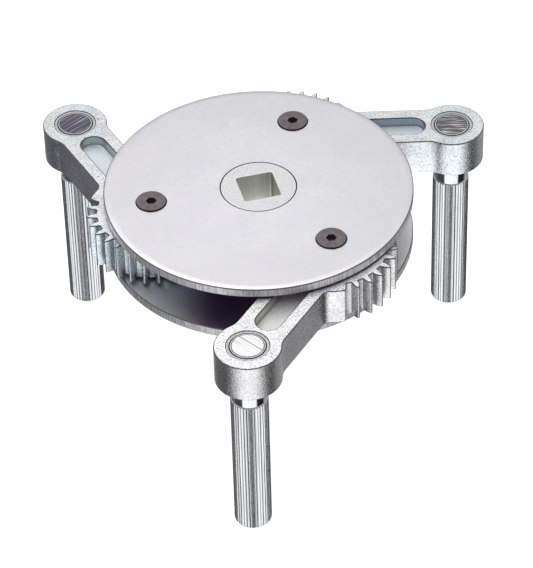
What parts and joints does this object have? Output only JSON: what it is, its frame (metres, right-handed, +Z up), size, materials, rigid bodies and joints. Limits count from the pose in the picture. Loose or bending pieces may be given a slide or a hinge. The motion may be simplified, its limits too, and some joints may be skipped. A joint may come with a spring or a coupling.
{
  "type": "oil filter wrench",
  "caption": "Self-adjusting oil filter wrench: two round plates hold a square-drive gear that swings toothed arms with knurled grip pins together round a filter.",
  "frame": {"origin": "centre of the footprint, on the surface that the three grip pins stand on", "axes": "+Z up along the drive axis, out of the square socket; +X to the right arm, the longest side; -Y towards the front arm"},
  "size_m": [0.1564, 0.1466, 0.0839],
  "materials": {
    "plate_steel": "satin ground and plated plate steel",
    "gear_steel": "satin, with broach marks in the square",
    "zinc_forging": "zinc plated forging with a fine grain",
    "zinc_pin": "bright zinc plated, straight knurl",
    "sleeve_steel": "turned",
    "spring_steel": "plain spring steel",
    "black_oxide": "black oxide"
  },
  "bodies": {
    "housing": {"top_plate": "plate_steel", "bottom_plate": "plate_steel", "pivot_sleeve_front": "sleeve_steel", "thrust_washer_front": "spring_steel", "top_screw_front": "black_oxide", "bottom_screw_front": "black_oxide", "pivot_sleeve_right": "sleeve_steel", "thrust_washer_right": "spring_steel", "top_screw_right": "black_oxide", "bottom_screw_right": "black_oxide", "pivot_sleeve_left": "sleeve_steel", "thrust_washer_left": "spring_steel", "top_screw_left": "black_oxide", "bottom_screw_left": "black_oxide"},
    "drive": {"drive_gear": "gear_steel"},
    "arm_front": {"arm_front": "zinc_forging", "grip_pin_front": "zinc_pin"},
    "arm_right": {"arm_right": "zinc_forging", "grip_pin_right": "zinc_pin"},
    "arm_left": {"arm_left": "zinc_forging", "grip_pin_left": "zinc_pin"}
  },
  "joints": [
    {"name": "arm_front_swing", "type": "hinge", "parent": "housing", "child": "arm_front", "pos_m": [0.02577, -0.01215, 0.0724], "axis": [0, 0, 1], "range_deg": [-31.5, 172.5]},
    {"name": "arm_right_swing", "type": "hinge", "parent": "housing", "child": "arm_right", "pos_m": [0.01071, 0.05103, 0.0724], "axis": [0, 0, 1], "range_deg": [-31.5, 172.5]},
    {"name": "arm_left_swing", "type": "hinge", "parent": "housing", "child": "arm_left", "pos_m": [-0.03648, 0.00641, 0.0724], "axis": [0, 0, 1], "range_deg": [-31.5, 172.5]},
    {"name": "drive_turn", "type": "hinge", "parent": "housing", "child": "drive", "pos_m": [0, 0.0151, 0.0724], "axis": [0, 0, 1], "range_deg": [-230.1, 42.1]}
  ],
  "couplings": [
    {"joint": "arm_right_swing", "follows": "arm_front_swing", "ratio": 1},
    {"joint": "arm_left_swing", "follows": "arm_front_swing", "ratio": 1},
    {"joint": "drive_turn", "follows": "arm_front_swing", "ratio": -1.3333}
  ]
}
